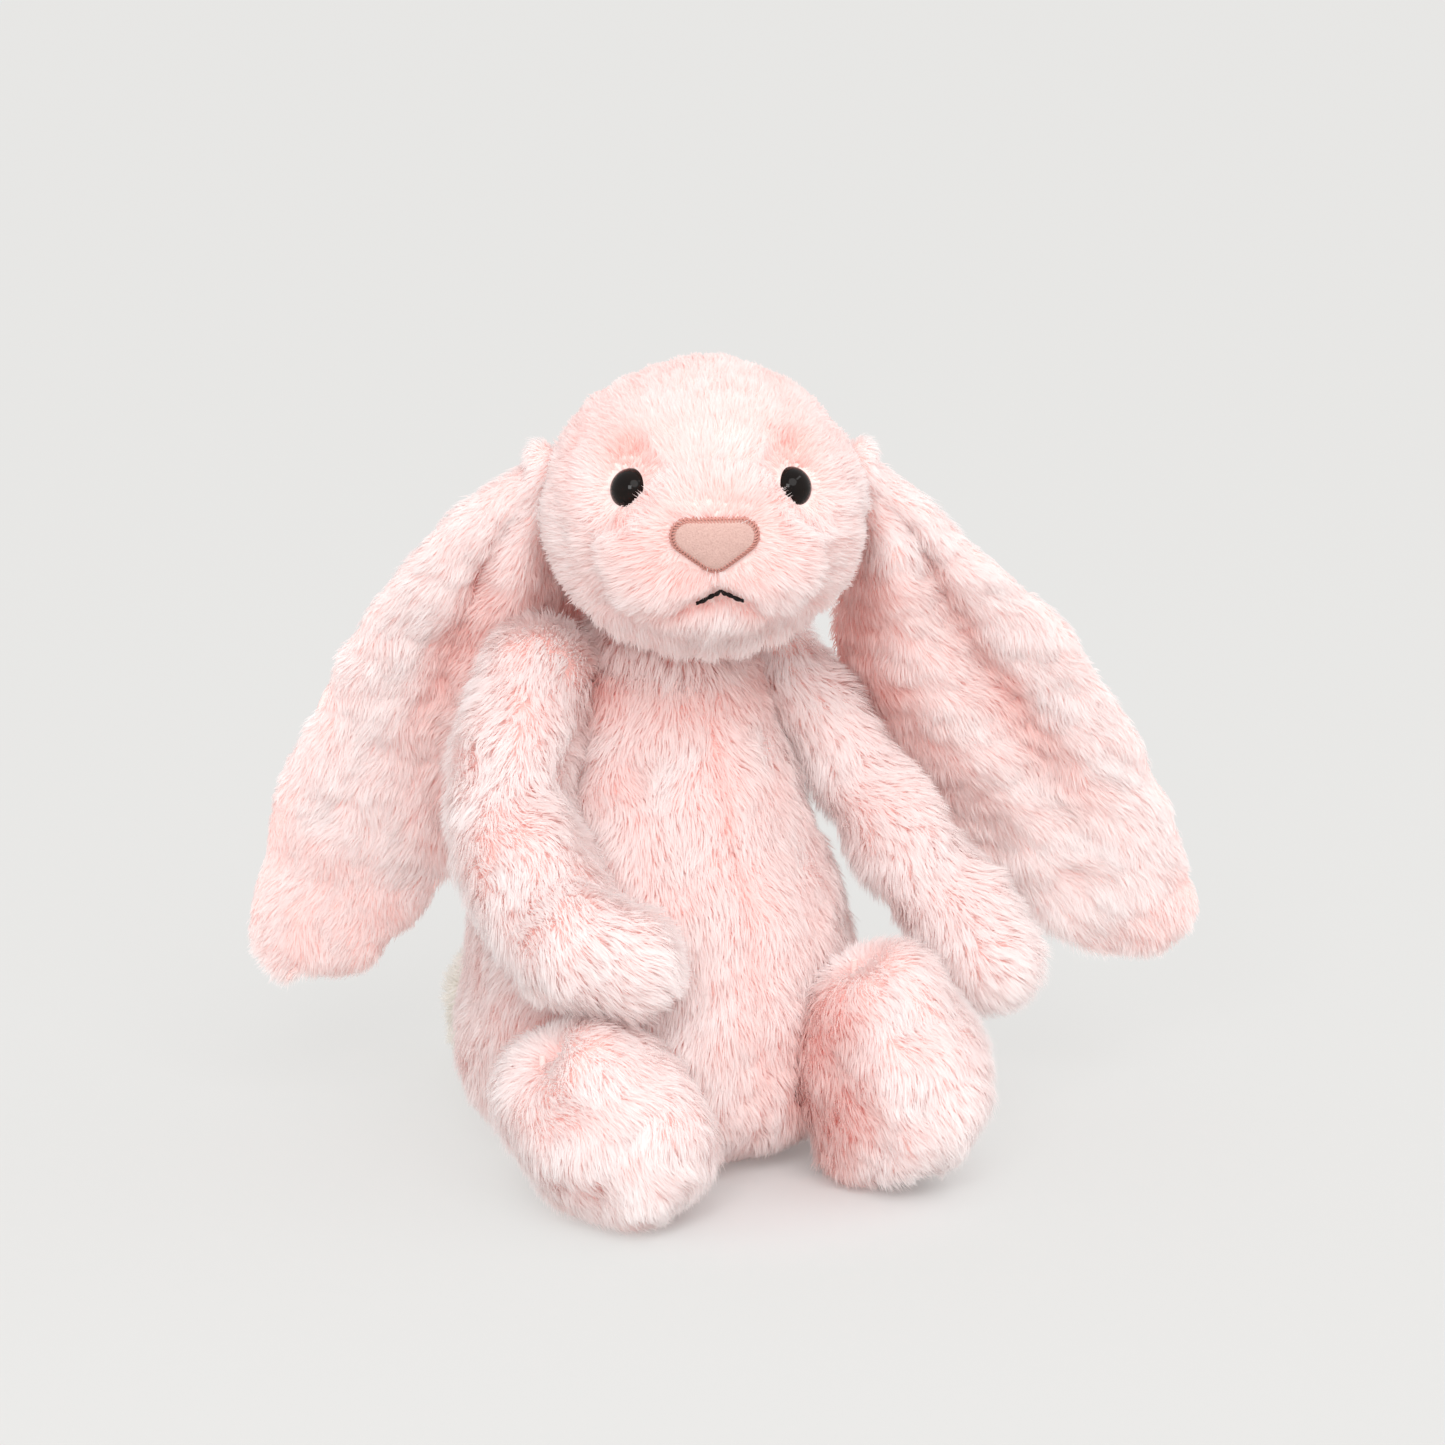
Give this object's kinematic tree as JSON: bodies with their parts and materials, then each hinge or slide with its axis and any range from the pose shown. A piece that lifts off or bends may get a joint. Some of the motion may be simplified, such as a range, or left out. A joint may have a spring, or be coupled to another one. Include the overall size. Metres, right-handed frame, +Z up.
{
  "type": "stuffed bunny rabbit",
  "caption": "Seated plush bunny with long drooping ears, a turning and nodding head, and lifting ears, arms and legs; a soft toy and room ornament.",
  "frame": {"origin": "centre of the flat seat panel, on the floor under the torso's axis", "axes": "+Z up along the torso, -Y the way the torso faces, +X towards the bunny's own left"},
  "size_m": [0.2105, 0.173, 0.2029],
  "materials": {
    "plush_pink": "long soft pile, pale pink with deeper pink between the tufts",
    "plush_cream": "fluffy cream pile",
    "nose_suede": "short-napped suede cloth",
    "pink_thread": "embroidery thread",
    "black_thread": "embroidery thread",
    "eye_black": "high gloss",
    "washer_plastic": "moulded",
    "wadding": "loose polyester fibre",
    "beans": "small pellets in a cloth bag"
  },
  "bodies": {
    "torso": {"torso_front_right_panel": "plush_pink", "torso_front_left_panel": "plush_pink", "torso_back_right_panel": "plush_pink", "torso_back_left_panel": "plush_pink", "seat_panel": "plush_pink", "torso_filling": "wadding", "bean_pouch": "beans", "tail_cover": "plush_cream", "tail_filling": "wadding"},
    "neck": {"neck_stuffing": "wadding", "neck_seam_thread": "pink_thread"},
    "head": {"head_right_panel": "plush_pink", "head_left_panel": "plush_pink", "head_chin_panel": "plush_pink", "head_filling": "wadding", "nose_patch": "nose_suede", "nose_stitching": "pink_thread", "mouth_stitch_right": "black_thread", "mouth_stitch_left": "black_thread", "eye_right": "eye_black", "eye_left": "eye_black", "eye_washer_right": "washer_plastic", "eye_washer_left": "washer_plastic"},
    "ear_right": {"ear_right_front": "plush_pink", "ear_right_back": "plush_pink"},
    "ear_left": {"ear_left_front": "plush_pink", "ear_left_back": "plush_pink"},
    "arm_right": {"arm_right_cover": "plush_pink", "arm_right_filling": "wadding"},
    "arm_left": {"arm_left_cover": "plush_pink", "arm_left_filling": "wadding"},
    "leg_right": {"leg_right_cover": "plush_pink", "leg_right_filling": "wadding", "sole_right": "plush_pink", "foot_beans_right": "beans", "ankle_tack_right": "pink_thread"},
    "leg_left": {"leg_left_cover": "plush_pink", "leg_left_filling": "wadding", "sole_left": "plush_pink", "foot_beans_left": "beans", "ankle_tack_left": "pink_thread"}
  },
  "joints": [
    {"name": "neck_turn", "type": "hinge", "parent": "torso", "child": "neck", "pos_m": [0, -0.0035, 0.125], "axis": [0, 0, 1], "range_deg": [-12, 8], "stiffness_Nm_per_rad": 0.12},
    {"name": "head_nod", "type": "hinge", "parent": "neck", "child": "head", "pos_m": [0, -0.0035, 0.125], "axis": [0.8949, -0.4462, 0], "range_deg": [-8, 20], "stiffness_Nm_per_rad": 0.2},
    {"name": "ear_lift_right", "type": "hinge", "parent": "head", "child": "ear_right", "pos_m": [-0.03428, 0.0008, 0.1755], "axis": [0.4462, 0.8949, 0], "range_deg": [0, 75]},
    {"name": "ear_lift_left", "type": "hinge", "parent": "head", "child": "ear_left", "pos_m": [0.03964, -0.03606, 0.1755], "axis": [-0.4462, -0.8949, 0], "range_deg": [0, 75]},
    {"name": "arm_lift_right", "type": "hinge", "parent": "torso", "child": "arm_right", "pos_m": [-0.034, 0, 0.124], "axis": [-1, 0, 0], "range_deg": [0, 50]},
    {"name": "arm_lift_left", "type": "hinge", "parent": "torso", "child": "arm_left", "pos_m": [0.032, 0, 0.1215], "axis": [-1, 0, 0], "range_deg": [0, 45]},
    {"name": "leg_lift_right", "type": "hinge", "parent": "torso", "child": "leg_right", "pos_m": [-0.046, -0.034, 0.025], "axis": [-0.9781, -0.208, 0], "range_deg": [0, 18]},
    {"name": "leg_lift_left", "type": "hinge", "parent": "torso", "child": "leg_left", "pos_m": [0.028, -0.0435, 0.028], "axis": [-0.9718, -0.2359, 0], "range_deg": [0, 10]}
  ]
}
